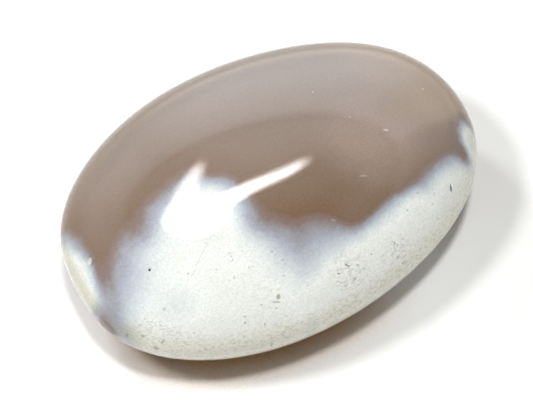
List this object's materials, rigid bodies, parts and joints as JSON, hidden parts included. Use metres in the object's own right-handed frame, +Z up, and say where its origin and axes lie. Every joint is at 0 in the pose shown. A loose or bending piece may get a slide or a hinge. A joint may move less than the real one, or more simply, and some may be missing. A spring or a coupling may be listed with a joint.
{
  "type": "orca agate palm stone",
  "caption": "Polished oval palm stone of orca agate, taupe and white chalcedony with a lavender-grey fringe, resting on its underside.",
  "frame": {"origin": "on the resting flat's plane, under the middle of the stone's bounding box", "axes": "+X along the stone's long axis towards its fuller end, +Y across it, +Z up through the polished crown"},
  "size_m": [0.065, 0.0456, 0.025],
  "materials": {
    "agate": "high polish, slightly translucent"
  },
  "bodies": {
    "root": {"palm_stone": "agate"}
  },
  "joints": []
}
